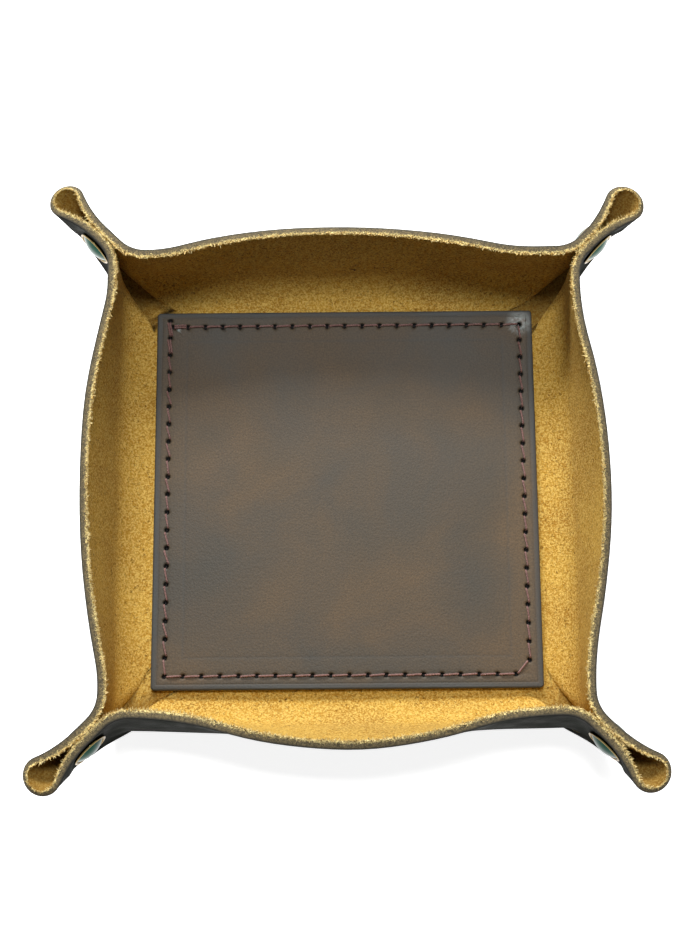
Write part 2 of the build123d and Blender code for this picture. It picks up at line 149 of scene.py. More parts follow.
# Inset, width and depth of the crease, of the channel for the stitches and of the ruled line
PAD_LINES = ((CREASE_MARGIN, 0.3, 0.12), (STITCH_MARGIN + 0.3, 0.9, 0.14), (RULED_MARGIN, 0.4, 0.05))
BORDER_STEPS = 233
COARSER = 4  # the middle of the pad has one step for this many along its border
HOLE_DEPTH = 1.5
HOLE_RADII = (0.45, 1.15)  # of its floor and of its mouth
HOLE_INSET = 2.5  # no hole is nearer the edge
DROP_HEIGHT = 0.7  # of a wax drop, as a share of its radius
STITCH_HALF = PAD_HALF - STITCH_MARGIN
REAR_SHIFT = 0.7  # the rear row runs this much further in
CORNER_SHIFT = 2.0  # the left row starts this much nearer the rear edge
WAX_DROPS = ((-67.5, 70.5, 1.15), (-67.4, 68.7, 0.65), (72.2, 67.6, 0.6))  # places and radii
PITCH = 2 * STITCH_HALF / STITCHES
SHORT_PITCH = (2 * STITCH_HALF - CORNER_CUT) / (STITCHES - 1)

# The stitches, in millimetres
THREAD_SEED = 12
SLANT_SHARES = (0.6, 1.3)  # how much of its run's slant a stitch has
THICKNESSES = (0.85, 1.2)  # how thick a stitch is, as a share
DOUBLED = 0.42  # half the distance between two stitches side by side
UNDER_HEIGHT = 0.62  # of the lower thread, in its groove under the floor
UNDER_THICKNESS = 0.6
STITCH_DIVE = 1.1  # how deep a stitch goes into its holes
STITCH_REACH = 0.8  # how much of its pitch it spans
PLY_TURNS = 5.0  # turns of a ply in one stitch
PLY_SHARES = (0.24, 0.27)  # radius of a ply's helix and of the ply, as shares of the thread

# The press studs, in millimetres
CAP_RADIUS = 7.5
CAP_HEIGHT = 2.4
CAP_ROLL = 0.5
CAP_STEPS = 72  # round a cap
SEAT = 0.2  # how deep a cap presses into the leather
SEAT_RADII = (7.3, 11.5)  # the leather is pressed in up to the first of these, and less up to the second

# The camera, fitted to the pad's corners, the ears' tips and the rim
CAMERA_ELEVATION = 78.21
CAMERA_AZIMUTH = 0.44
CAMERA_ROLL = -0.9
CAMERA_DISTANCE = 596.1
CAMERA_TARGET = (1.74, 13.0)
CAMERA_FOCAL_PIXELS = 1479
PHOTO_HEIGHT = 933
SENSOR = 36.0

# Name, place, width and length in metres, and power in watts of each lamp
LAMPS = (
    ("ceiling", (0.05, 0.4, 1.4), (0.36, 0.36), 15.6),
    ("window", (-0.25, 1.3, 0.8), (0.7, 0.35), 41.0),
    ("room", (-1.2, -0.7, 0.9), (0.5, 0.5), 1.0),
)
LAMP_TARGET = (0, 0, 0.02)
FLOOR_REACH = 3600.0  # half the floor's side, in millimetres
SKY = 0.06  # strength of the white surroundings as light, where they aren't seen
GLOW = (0.84, 1.0)  # strength of the floor near the tray and far off, where it is seen
GLOW_REACH = (0.25, 1.1)  # metres from the tray between which it changes


def linear(colour):
    """A linear colour from an sRGB hex value."""
    parts = [int(colour[i:i + 2], 16) / 255 for i in (1, 3, 5)]
    return (*[c / 12.92 if c <= 0.04045 else ((c + 0.055) / 1.055) ** 2.4 for c in parts], 1.0)


def step(low, high, value):
    """0 below low, 1 above high and smooth between."""
    share = np.clip((value - low) / (high - low), 0, 1)
    return share * share * (3 - 2 * share)


def wander(points, size, seed):
    """A smooth value between about -1 and 1 that changes over the given size, the same on every run."""
    rng = np.random.default_rng(seed)
    total = np.zeros(points.shape[:-1])
    for _ in range(5):
        direction = rng.normal(size=3)
        direction /= np.linalg.norm(direction)
        wave = 2 * pi / (size * rng.uniform(0.7, 1.9))
        total += np.sin(points @ direction * wave + rng.uniform(0, 2 * pi))
    return total / 3


def length(name, description, value):
    """A length property with a default in millimetres, kept in metres."""
    return bpy.props.FloatProperty(
        name=name, description=description, default=value * MM, unit="LENGTH", precision=5)


class TraySizes(bpy.types.PropertyGroup):
    """Sizes that a maker would change."""

    thread: length("Thread", "Thickness of the waxed thread", 0.88)
    stitch_rise: length("Stitch rise", "How high a stitch stands over the pad", 0.2)
    fibre: length("Fibre", "Length of the loose fibres on the cut edge", 0.9)
    fibres: bpy.props.IntProperty(
        name="Fibres", description="Loose fibres along the whole cut edge", default=9000)


def colour(name, description, value):
    """A colour property with an sRGB default, kept in linear light."""
    return bpy.props.FloatVectorProperty(
        name=name, description=description, default=linear(value), size=4, min=0, max=1, subtype="COLOR")


class TrayColours(bpy.types.PropertyGroup):
    """Colours of the leathers, the thread and the metal."""

    flesh: colour("Flesh side", "Napped inside of the tray", "#BC9036")
    flesh_dark: colour("Flesh side, dark", "Where the nap lies the other way", "#9C6F24")
    grain: colour("Grain side", "Waxed outside of the tray", "#15140D")
    pad: colour("Pad", "Oiled leather of the pad", "#3B372F")
    pad_warm: colour("Pad, warm", "Where the oil has been pulled out of the pad", "#66523A")
    thread: colour("Thread", "Waxed thread of the pad", "#5E403C")
    # The green in this brass colour is a painted reflection of green surroundings on the darkened face
    brass: colour("Antique brass", "Darkened face of the caps", "#0C3A2C")
    floor: colour("Floor", "Floor under the tray", "#F4F4F2")


# Nodes

def node(tree, kind, inputs=None, **settings):
    """Adds a node with its settings, and gives each input a value or links from sockets or nodes.

    A node stands for its first output, and a list for more than one link to the same input.
    """
    made = tree.nodes.new(kind)
    for name, value in settings.items():
        setattr(made, name, value)
    for key, value in (inputs or {}).items():
        for source in value if isinstance(value, list) else [value]:
            if isinstance(source, bpy.types.Node):
                source = source.outputs[0]
            if isinstance(source, bpy.types.NodeSocket):
                tree.links.new(source, made.inputs[key])
            else:
                made.inputs[key].default_value = source
    return made


def instancer(name, sizes, build, smooth=False):
    """A geometry nodes tree with named inputs that lays what build makes at each point of a mesh."""
    tree = bpy.data.node_groups.new(name, "GeometryNodeTree")
    kinds = {"Geometry": "Geometry", **dict.fromkeys(sizes, "Float"), "Material": "Material"}
    for label, kind in kinds.items():
        socket = tree.interface.new_socket(label, in_out="INPUT", socket_type="NodeSocket" + kind)
        if label in sizes:
            socket.default_value = sizes[label]
    tree.interface.new_socket("Geometry", in_out="OUTPUT", socket_type="NodeSocketGeometry")
    add = partial(node, tree)
    given = add("NodeGroupInput").outputs
    turn, size = (
        add("GeometryNodeInputNamedAttribute", {"Name": key}, data_type="FLOAT_VECTOR")
        for key in ("turn", "size"))
    laid = add("GeometryNodeInstanceOnPoints", {
        "Points": given["Geometry"], "Instance": build(add, given), "Rotation": turn, "Scale": size})
    if smooth:
        laid = add("GeometryNodeSetShadeSmooth", {0: laid})
    real = add("GeometryNodeRealizeInstances", {0: laid})
    done = add("GeometryNodeSetMaterial", {"Geometry": real, "Material": given["Material"]})
    add("NodeGroupOutput", {0: done})
    return tree


def baked(tree, name, points, turns, scales, sizes, material):
    """The plain mesh that an instancer makes at points with their own turns and scales."""
    source = mesh_from(name + "_points", points, [])
    for key, rows in (("turn", turns), ("size", scales)):
        attribute = source.data.attributes.new(key, "FLOAT_VECTOR", "POINT")
        attribute.data.foreach_set("vector", np.asarray(rows, np.float32).ravel())
    modifier = source.modifiers.new(name, "NODES")
    modifier.node_group = tree
    values = {**sizes, "Material": MATERIALS[material]}
    for item in tree.interface.items_tree:
        if item.name in values:
            modifier[item.identifier] = values[item.name]
    graph = bpy.context.evaluated_depsgraph_get()
    mesh = bpy.data.meshes.new_from_object(source.evaluated_get(graph))
    source.modifiers.remove(modifier)
    bpy.data.objects.remove(source)
    mesh.name = name
    made = bpy.data.objects.new(name, mesh)
    bpy.context.scene.collection.objects.link(made)
    return made


# The materials

def blank(name):
    """A new material with nothing in it yet, what adds its nodes, and object coordinates in metres."""
    material = bpy.data.materials.new(name)
    material.use_nodes = True
    material.node_tree.nodes.clear()
    add = partial(node, material.node_tree)
    return material, add, add("ShaderNodeTexCoord").outputs["Object"]


def patches(add, place, size, limits, detail=2.0, roughness=0.5, distortion=0.0):
    """Soft patches of noise about the given number of millimetres wide.

    The limits are the noise where a patch begins and where it is full, and what each of the two gives.
    """
    noise = add("ShaderNodeTexNoise", {
        "Vector": place, "Scale": 1 / (size * MM), "Detail": detail, "Roughness": roughness,
        "Distortion": distortion})
    return add("ShaderNodeMapRange", dict(enumerate((noise, *limits))))


def painted(add, base, *coats):
    """The base colour with more colours laid over it in order, each by its own factor."""
    for factor, colour in coats:
        first, last = (linear(c) if isinstance(c, str) else c for c in (base, colour))
        base = add("ShaderNodeMix", {0: factor, 6: first, 7: last}, data_type="RGBA").outputs[2]
    return base


def coated(material, add, height=None, depth=0.0, **inputs):
    """The material with its shader's inputs, and with bumps of the given depth in millimetres."""
    inputs = {key.replace("_", " "): value for key, value in inputs.items()}
    if height is not None:
        bumps = {"Height": height, "Distance": depth * MM, "Strength": 1.0}
        inputs["Normal"] = add("ShaderNodeBump", bumps)
    shader = add("ShaderNodeBsdfPrincipled", inputs)
    add("ShaderNodeOutputMaterial", {"Surface": shader})
    return material


def napped_flesh(colours):
    """Flesh side of chrome-tanned leather: a dull nap of tufts under 1 mm wide, with dark pits and specks,
    and painted shade inside the ear loops.
    """
    material, add, place = blank("napped_flesh")
    tuft = add("ShaderNodeTexNoise", {
        "Vector": place, "Scale": 1 / (0.75 * MM), "Detail": 3, "Roughness": 0.65, "Distortion": 0.4})
    nap = add("ShaderNodeTexNoise", {"Vector": place, "Scale": 1 / (0.35 * MM), "Roughness": 0.7})
    across = add("ShaderNodeAttribute", attribute_name="across").outputs["Fac"]
    base = painted(
        add, colours.flesh,
        (patches(add, place, 26, (0.3, 0.72), 3), colours.flesh_dark),
        (add("ShaderNodeMapRange", {0: tuft, 1: 0.42, 2: 0.6, 4: 0.7}), "#E4C46C"),
        (patches(add, place, 1.0, (0.3, 0.44, 0.8, 0), 2, 0.65, 0.8), "#65430F"),
        (patches(add, place, 3.0, (0.25, 0.31, 0.9, 0), 2, 0.7, 1.6), "#44290C"),
        # Painted shade inside the ear loops, where the share across runs past 1
        (add("ShaderNodeMapRange", {0: across, 1: 1, 2: 2, 4: 0.6}), "#553A12"))
    height = add("ShaderNodeMath", {0: tuft, 1: nap}, operation="ADD")
    return coated(material, add, height, 0.5, Base_Color=base, Roughness=0.95, Specular_IOR_Level=0.2)


def waxed_grain(colours):
    """Grain side, dyed nearly black and waxed: a faint sheen, pores 0.9 mm apart and paler pulled creases."""
    material, add, place = blank("waxed_grain")
    base = painted(
        add, colours.grain,
        (patches(add, place, 18, (0.35, 0.7), 4, 0.6), "#1C201A"),
        (patches(add, place, 7, (0.58, 0.74, 0, 0.5), 5, 0.7, 1.2), "#3B3325"))
    pores = add("ShaderNodeTexVoronoi", {"Vector": place, "Scale": 1 / (0.9 * MM)})
    swells = add("ShaderNodeTexNoise", {"Vector": place, "Scale": 1 / (2.5 * MM), "Detail": 3})
    height = add("ShaderNodeMath", {0: pores, 1: swells}, operation="ADD")
    dull = patches(add, place, 9, (0.3, 0.7, 0.5, 0.7), 3)
    return coated(material, add, height, 0.07, Base_Color=base, Roughness=dull, Specular_IOR_Level=0.02)


def cut_edge(_):
    """The knife-cut edge: dyed and slightly slicked next to the grain, raw golden fibre next to the flesh."""
    material, add, place = blank("cut_edge")
    across = add("ShaderNodeAttribute", attribute_name="across").outputs["Fac"]
    ragged = patches(add, place, 1.1, (0.25, 0.75, -0.22, 0.22), 3, 0.7)
    depth = add("ShaderNodeMath", {0: across, 1: ragged}, operation="ADD")
    dyed = painted(add, "#38311F", (patches(add, place, 0.8, (0.35, 0.65), 3), "#62563B"))
    raw = painted(add, "#5A4218", (patches(add, place, 0.6, (0.42, 0.6), 3, 0.7), "#F0DC96"))
    loose = patches(add, place, 0.45, (0.56, 0.66, 0, 0.5), 2, 0.7)
    inside = add("ShaderNodeMapRange", {0: across, 1: 0.2, 2: 0.5})
    base = painted(
        add, dyed,
        (add("ShaderNodeMapRange", {0: depth, 1: 0.62, 2: 0.86}), raw),
        (add("ShaderNodeMath", {0: loose, 1: inside}, operation="MULTIPLY"), "#C4A868"),
        (add("ShaderNodeMapRange", {0: across, 1: 0.05, 2: 0.26, 3: 1, 4: 0}), "#211F18"))
    height = add("ShaderNodeTexNoise", {
        "Vector": place, "Scale": 1 / (0.5 * MM), "Detail": 3, "Roughness": 0.7})
    return coated(material, add, height, 0.35, Base_Color=base, Roughness=0.85)


def raw_fibre(_):
    """Loose collagen fibre on the cut edge: pale gold and matt."""
    material, add, place = blank("raw_fibre")
    base = painted(add, "#B99245", (patches(add, place, 1.3, (0.3, 0.7)), "#FBEBAE"))
    return coated(material, add, Base_Color=base, Roughness=0.9, Specular_IOR_Level=0.2)


def pull_up_leather(colours):
    """Oiled pull-up leather: grey-brown where it is full of oil and warm where the oil was pulled away, with
    painted shade near black in its stitch holes.
    """
    material, add, place = blank("pull_up_leather")
    cloud = add("ShaderNodeTexNoise", {
        "Vector": place, "Scale": 1 / (44 * MM), "Detail": 5, "Distortion": 0.6})
    burnished, waxed, hole = (
        add("ShaderNodeAttribute", attribute_name=name).outputs["Fac"]
        for name in ("burnished", "waxed", "hole"))
    smear = patches(add, place, 2.2, (0.35, 0.6), 3, 0.6)
    base = painted(
        add, colours.pad,
        (add("ShaderNodeMapRange", {0: cloud, 1: 0.3, 2: 0.74, 4: 0.75}), colours.pad_warm),
        (patches(add, place, 36, (0.5, 0.85, 0, 0.5), 4), "#2F322E"),
        (patches(add, place, 0.7, (0.38, 0.62, 0, 0.4), 3, 0.6), "#262420"),
        (add("ShaderNodeMath", {0: burnished, 1: 0.7}, operation="MULTIPLY"), "#33383A"),
        (add("ShaderNodeMath", {0: waxed, 1: smear}, operation="MULTIPLY"), "#737B78"),
        # Painted shade: near black down in the stitch holes
        (add("ShaderNodeMapRange", {0: hole, 1: 0.05, 2: 0.4}), "#050403"))
    dull = add("ShaderNodeMapRange", {0: cloud, 1: 0.3, 2: 0.7, 3: 0.55, 4: 0.68})
    polish = add("ShaderNodeMapRange", {0: waxed, 4: 0.35})
    roughness = add("ShaderNodeMath", {0: dull, 1: polish}, operation="SUBTRACT")
    pores = add("ShaderNodeTexVoronoi", {"Vector": place, "Scale": 1 / (0.8 * MM)})
    swells = add("ShaderNodeTexNoise", {
        "Vector": place, "Scale": 1 / (1.6 * MM), "Detail": 4, "Roughness": 0.6})
    height = add("ShaderNodeMath", {0: pores, 1: swells}, operation="ADD")
    return coated(material, add, height, 0.06, Base_Color=base, Roughness=roughness, Specular_IOR_Level=0.25)


def waxed_thread(colours):
    """Two-ply waxed polyester: brown with a pink cast."""
    material, add, place = blank("waxed_thread")
    base = painted(add, colours.thread, (patches(add, place, 0.5, (0.35, 0.65)), "#82605A"))
    height = add("ShaderNodeTexNoise", {"Vector": place, "Scale": 1 / (0.2 * MM)})
    return coated(material, add, height, 0.05, Base_Color=base, Roughness=0.6, Sheen_Weight=0.1)


def antique_brass(colours):
    """Brass, chemically darkened and then rubbed: dark green on the face, bare yellow on the rolled rim. The
    green of the face is a painted reflection of green surroundings.
    """
    material, add, place = blank("antique_brass")
    worn = add("ShaderNodeAttribute", attribute_name="worn").outputs["Fac"]
    # The green of the face and of its darker patches is a painted reflection
    base = painted(
        add, colours.brass, (patches(add, place, 2.2, (0.3, 0.7), 3), "#0A2C22"), (worn, "#94763F"))
    shine = patches(add, place, 1.2, (0.3, 0.7, 0.13, 0.22), 3)
    height = add("ShaderNodeTexNoise", {"Vector": place, "Scale": 1 / (0.6 * MM), "Detail": 3})
    return coated(material, add, height, 0.015, Base_Color=base, Metallic=1.0, Roughness=shine)


MATERIALS = {}
MAKERS = (napped_flesh, waxed_grain, cut_edge, raw_fibre, pull_up_leather, waxed_thread, antique_brass)


class TRAY_OT_materials(bpy.types.Operator):
    """Mixes the leathers, the thread and the metal"""

    bl_idname = "tray.materials"
    bl_label = "Materials"

    def execute(self, context):
        for make in MAKERS:
            MATERIALS[make.__name__] = make(context.scene.tray_colours)
        return {"FINISHED"}


# The sheet's middle layer

def wall_reach(height, start, radius, slope):
    """Reach of the middle layer of a wall that turns up from the floor by an arc and then runs straight."""
    arc, turn = radius - LEATHER / 2, radians(slope)
    arc_top = radius - arc * cos(turn)
    bent = start + np.sqrt(np.maximum(arc**2 - (radius - height) ** 2, 0))
    return np.where(height <= arc_top, bent, start + arc * sin(turn) + (height - arc_top) / tan(turn))


def wall_end(side, height):
    """Reach of a wall beside its ears."""
    return wall_reach(height, FLOOR_HALF, WALL_BEND, END_SLOPES[side])


def ear_sizes(height, loop_half=HALF_PLY):
    """Ply offset, loop radius, neck radius, tip and junction radius of an ear at each height."""
    share = height / RIM_HEIGHT
    offset = HALF_PLY + FLARE * np.maximum(1 - height / FLARE_TOP, 0) ** 2
    loop = offset + LOOP_LEAST + (loop_half - HALF_PLY - LOOP_LEAST) * share**LOOP_GROWTH
    neck, junction = (low + (high - low) * share for low, high in (LOOP_NECKS, JUNCTIONS))
    return offset, loop, neck, wall_reach(height, *KEEL), junction


def steps_of(counts):
    """The edge that each column of the mesh lies on, and how far along it."""
    edge = np.concatenate([np.full(count, number) for number, count in enumerate(counts)])
    share = np.concatenate([np.arange(count) / count for count in counts])
    return edge, share


def arc(x, y, radius, angle):
    """Points on an arc round a centre."""
    return x + radius * np.cos(angle), y + radius * np.sin(angle)


def by_edge(edge, shapes):
    """The two coordinates of every column, each from the shape of the edge that it lies on."""
    return (np.select([edge == number for number in range(len(shapes))], values) for values in zip(*shapes))


def side_points(side, height, lean_before, lean_after):
    """The middle layer along one side, from the end of one ear's ply to the start of the next."""
    edge, share = steps_of(SIDE_STEPS)
    mid = wall_reach(height, FLOOR_HALF + FLOOR_BOW, WALL_BEND, MID_SLOPE)
    end = wall_end(side, height)
    bow = np.maximum(mid - end, LEAST_BOW)
    offset, *_, junction = ear_sizes(height)
    lost = offset * sqrt(2) + (sqrt(2) - 1) * junction
    left = end - lost - height * lean_before * sqrt(2)
    right = end - lost + height * lean_after * sqrt(2)
    half = np.minimum(left, right) - BOW_MARGIN
    angle = 2 * np.arctan(bow / half)
    radii = half / np.sin(angle)
    convex, concave = radii * CONVEX_SHARES[side], radii * (1 - CONVEX_SHARES[side])
    quarter = pi / 4
    along, out = by_edge(edge, [
        arc(-left, end + junction, junction, -3 * quarter + quarter * share),
        (-left + (left - half) * share, end),
        arc(-half, end + concave, concave, -pi / 2 + angle * share),
        arc(0, end + bow - convex, convex, pi / 2 + angle * (1 - 2 * share)),
        arc(half, end + concave, concave, -pi / 2 - angle * (1 - share)),
        (half + (right - half) * share, end),
        arc(right, end + junction, junction, -pi / 2 + quarter * share),
    ])
    along = along + BOW_SKEWS[side] * np.maximum(1 - (along / half) ** 2, 0) * step(0, RIM_HEIGHT, height)
    turns = {"front": (along, -out), "right": (out, along), "rear": (-along, out), "left": (-out, -along)}
    return np.stack([*turns[side], height], axis=-1)


def ear_axes(corner):
    """Unit vectors along an ear and across it, towards the next side."""
    along = np.array([*CORNERS[corner], 0]) / sqrt(2)
    return along, np.array([-along[1], along[0], 0])


def ear_points(corner, height, side_before, side_after):
    """The middle layer round one ear: ply, neck, loop, neck, ply."""
    edge, share = steps_of(EAR_STEPS)
    offset, loop, neck, tip, junction = ear_sizes(height, LOOP_HALVES[corner])
    lean = height * tan(radians(LEANS[corner]))
    turn = np.arccos((offset + neck) / (loop + neck))
    centre = tip - loop
    splay = centre - (loop + neck) * np.sin(turn)
    first = sqrt(2) * wall_end(side_before, height) - offset + lean + (sqrt(2) - 1) * junction
    last = sqrt(2) * wall_end(side_after, height) - offset - lean + (sqrt(2) - 1) * junction
    s, v = by_edge(edge, [
        (first + (splay - first) * share, -offset),
        (splay + neck * np.sin(turn * share), -offset - neck + neck * np.cos(turn * share)),
        arc(centre, 0, loop, -pi / 2 - turn + (pi / 2 + turn) * share),
        arc(centre, 0, loop, (pi / 2 + turn) * share),
        (splay + neck * np.sin(turn * (1 - share)), offset + neck - neck * np.cos(turn * (1 - share))),
        (splay + (last - splay) * share, offset),
    ])
    along, across = ear_axes(corner)
    return s[..., None] * along + (v + lean)[..., None] * across + height[..., None] * np.array([0, 0, 1])


def tip_share():
    """For each column of an ear, 0 on its plies and up to 1 at its tip."""
    edge, share = steps_of(EAR_STEPS)
    return np.clip(np.where(edge < 3, edge - 1 + share, 5 - edge - share), 0, 2) / 2


def loop_share():
    """For each column of the sheet, how much of the loops' thinning and of their painted shade it has."""
    ear = step(0.15, 0.6, tip_share())
    return np.tile(np.concatenate([np.zeros(sum(SIDE_STEPS)), ear]), len(SIDES))


def rows_up(tops):
    """Heights of the middle layer's rows under each point of the rim."""
    low = LEATHER / 2
    bend = low + (BEND_TOP - low) * (1 - np.cos(np.linspace(0, pi / 2, BEND_ROWS + 1)))
    share = np.arange(1, WALL_ROWS + 1) / WALL_ROWS
    wall = BEND_TOP + share[:, None] * (tops - BEND_TOP)[None, :]
    return np.vstack([np.repeat(bend[:, None], len(tops), axis=1), wall])


def middle_layer():
    """The whole middle layer as rows and columns of points, counter-clockwise from the front side."""
    corners = list(CORNERS)
    level = rows_up(np.full(sum(SIDE_STEPS), RIM_HEIGHT))
    dipped = rows_up(RIM_HEIGHT - TIP_DIP * step(0.2, 1.0, tip_share()))
    blocks = []
    for number, side in enumerate(SIDES):
        before, after = corners[number - 1], corners[number]
        leans = [tan(radians(LEANS[c])) for c in (before, after)]
        blocks.append(side_points(side, level, *leans))
        blocks.append(ear_points(after, dipped, side, SIDES[(number + 1) % len(SIDES)]))
    return relaxed(np.concatenate(blocks, axis=1))


def relaxed(points):
    """The middle layer with softer creases at the foot of each ear, where leather this thick can't fold."""
    reach = (np.abs(points[..., 0]) + np.abs(points[..., 1])) / sqrt(2)
    near = step(*CREASE_REACHES, reach) * (1 - step(*CREASE_HEIGHTS, points[..., 2]))
    for _ in range(RELAXING):
        beside = (np.roll(points, 1, axis=1) + np.roll(points, -1, axis=1)) / 2
        mean = beside.copy()
        mean[1:-1] = (beside[1:-1] + (points[2:] + points[:-2]) / 2) / 2
        points = points + near[..., None] * (mean - points)
    return points


def outward(points):
    """Unit normals and upward directions of a grid whose columns close on themselves."""
    along = np.roll(points, -1, axis=1) - np.roll(points, 1, axis=1)
    up = np.empty_like(points)
    up[1:-1] = points[2:] - points[:-2]
    up[0], up[-1] = points[1] - points[0], points[-1] - points[-2]
    normal = np.cross(along, up)
    normal[0] = (0, 0, -1)
    up /= np.linalg.norm(up, axis=-1, keepdims=True)
    return normal / np.linalg.norm(normal, axis=-1, keepdims=True), up


def snap_of(corner):
    """Middle of a press stud, its direction towards the flap and how far its two crowns stand off, in mm."""
    ends = [sum(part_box(f"{corner}_{name}"), Vector()) / 2 for name in ("fixed_cap", "flap_cap")]
    centre, axis = (ends[0] + ends[1]) / 2 / MM, (ends[1] - ends[0]).normalized()
    reaches = []
    for name, sign in (("fixed_cap", -1), ("flap_cap", 1)):
        mesh = frame["nodes"][f"{corner}_{name}"].data
        reaches.append(max((v.co / MM - centre).dot(axis * sign) for v in mesh.vertices))
    return np.array(centre), np.array(axis), reaches


SNAPS = {corner: snap_of(corner) for corner in CORNERS}


def sheet_faces():
    """Points of both faces and the cut edge, each one's share across the leather, and the rows of a face.

    On the flesh side the share goes on past 1 inside the loops, where the flesh side's material paints shade.
    """
    middle = middle_layer()
    normal, up = outward(middle)
    level = middle[..., 2]
    ripple = RIPPLE * step(*RIPPLE_HEIGHTS, level) * wander(middle, RIPPLE_SIZE, 4)
    middle = middle + normal * ripple[..., None]
    outer = middle + normal * LEATHER / 2
    inside = LEATHER / 2 - LOOP_THIN * loop_share() * step(*THIN_HEIGHTS, level)
    inner = middle - normal * inside[..., None]
    for corner in CORNERS:
        centre, axis, reaches = SNAPS[corner]
        for sign, reach in zip((-1, 1), reaches):
            offset = outer - centre
            depth = offset @ axis
            radius = np.linalg.norm(offset - depth[..., None] * axis, axis=-1)
            over = np.maximum(depth * sign - (reach - CAP_HEIGHT - SEAT), 0)
            outer = outer - (over * (1 - step(*SEAT_RADII, radius)))[..., None] * axis * sign
    edge = []
    for share in EDGE_SHARES:
        lift = EDGE_ROUND * (1 - abs(share) ** 5)
        place = (outer[-1] * (1 - share) + inner[-1] * (1 + share)) / 2
        edge.append(place + up[-1] * lift)
    grid = np.concatenate([outer, np.array(edge), inner[::-1]])
    rows = len(outer)
    across = np.concatenate([np.zeros(rows), (np.array(EDGE_SHARES) + 1) / 2, np.ones(rows)])
    across = np.repeat(across[:, None], grid.shape[1], axis=1)
    # Past 1 inside the loops, for the painted shade there
    across[-rows:] += loop_share()
    return grid, across, rows


def keel_frame(corner):
    """A point on an ear's peel line and the direction up from it, from its joint."""
    joint = next(j for j in frame["joints"] if j["child"] == f"{corner}_snap")
    along = np.array(joint["axis"]) * -FLAP_SIDES[corner]
    out = SNAPS[corner][1]
    return np.array(joint["pos_m"]) / MM, np.cross(along, out) * FLAP_SIDES[corner]


def cut_plies(bm):
    """Cuts the bending part of each ear's outer ply along straight lines, so that it can be a piece."""
    for corner in CORNERS:
        along, across = (Vector(v) for v in ear_axes(corner))
        point, rise = keel_frame(corner)
        planes = [(along * reach, along) for reach in (PLY_START, PLY_SPLIT, PLY_END)]
        planes.append((Vector(point), Vector(rise)))
        for place, direction in planes:
            faces = []
            for face in bm.faces:
                middle = face.calc_center_median() / MM
                beside = middle.dot(across) * FLAP_SIDES[corner] > -CUT_SIDE
                within = PLY_START - CUT_SPARE < middle.dot(along) < PLY_END + CUT_SPARE
                if len(face.verts) < 5 and beside and within:
                    faces.append(face)
            edges = {e for f in faces for e in f.edges}
            verts = {v for f in faces for v in f.verts}
            bmesh.ops.bisect_plane(
                bm, geom=[*faces, *edges, *verts], dist=1e-7, plane_co=place * MM, plane_no=direction)


def regions(centres):
    """The piece that each face of the sheet belongs to, from their middles in millimetres."""
    names = np.full(len(centres), "tray_sheet", dtype="U32")
    for corner in CORNERS:
        along, across = ear_axes(corner)
        point, rise = keel_frame(corner)
        reach = centres @ along
        lean = centres[:, 2] * tan(radians(LEANS[corner]))
        inside = (reach > PLY_START) & (reach < PLY_END) & ((centres - point) @ rise > 0)
        inside &= (centres @ across - lean) * FLAP_SIDES[corner] > 0
        names[inside & (reach < PLY_SPLIT)] = f"{corner}_ply_wall"
        names[inside & (reach >= PLY_SPLIT)] = f"{corner}_ply_loop"
    return names


def mesh_from(name, points, faces):
    """A new object with a mesh in metres, from points in millimetres."""
    mesh = bpy.data.meshes.new(name)
    mesh.from_pydata([tuple(p) for p in np.asarray(points) * MM], [], faces)
    mesh.validate()
    mesh.shade_smooth()
    made = bpy.data.objects.new(name, mesh)
    bpy.context.scene.collection.objects.link(made)
    return made


def add_share(mesh, name, values):
    """A value for each vertex, for a material to read."""
    attribute = mesh.attributes.new(name, "FLOAT", "POINT")
    attribute.data.foreach_set("value", np.asarray(values, np.float32))


def ring_faces(levels, count):
    """Quads between each ring of points and the next."""
    faces = []
    for level in range(levels - 1):
        for n in range(count):
            a, b = level * count + n, level * count + (n + 1) % count
            faces.append((a, b, b + count, a + count))
    return faces


def split_sheet(whole):
    """The root piece and the bending plies as objects, with the normals of the unbroken sheet."""
    mesh = whole.data
    normals = np.empty(len(mesh.loops) * 3, np.float32)
    mesh.corner_normals.foreach_get("vector", normals)
    normals = normals.reshape(-1, 3)
    across = np.empty(len(mesh.vertices), np.float32)
    mesh.attributes["across"].data.foreach_get("value", across)
    centres = np.array([f.center for f in mesh.polygons]) / MM
    names = regions(centres)
    pieces = {}
    for name in sorted(set(names)):
        faces = [mesh.polygons[int(n)] for n in np.flatnonzero(names == name)]
        used = sorted({v for f in faces for v in f.vertices})
        place = {v: i for i, v in enumerate(used)}
        points = [np.array(mesh.vertices[v].co) / MM for v in used]
        made = mesh_from(name, points, [[place[v] for v in f.vertices] for f in faces])
        for material in mesh.materials:
            made.data.materials.append(material)
        made.data.polygons.foreach_set("material_index", [f.material_index for f in faces])
        add_share(made.data, "across", across[used])
        corner_normals = np.concatenate([normals[list(f.loop_indices)] for f in faces])
        made.data.normals_split_custom_set([tuple(n) for n in corner_normals])
        pieces[name] = made
    bpy.data.objects.remove(whole)
    return pieces


def ply_ends(name):
    """The corner of a piece of the sheet, and where its bending starts and ends along the ear."""
    corner = name.rsplit("_ply_", 1)[0]
    along = Vector(ear_axes(corner)[0]) * MM
    start, end = (PLY_START, PLY_HELD) if name.endswith("wall") else (PLY_END, PLY_FREE)
    return corner, along * start, along * end


def attach(piece, name):
    """Lets what is on the root piece of the sheet ride on the tray, bakes the transform of what is on a ply,
    and names the solid.
    """
    if name == "tray_sheet":
        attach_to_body(piece, "tray")
        return "tray_leather"
    corner, start, end = ply_ends(name)
    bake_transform(piece)
    return f"{corner}_flap"


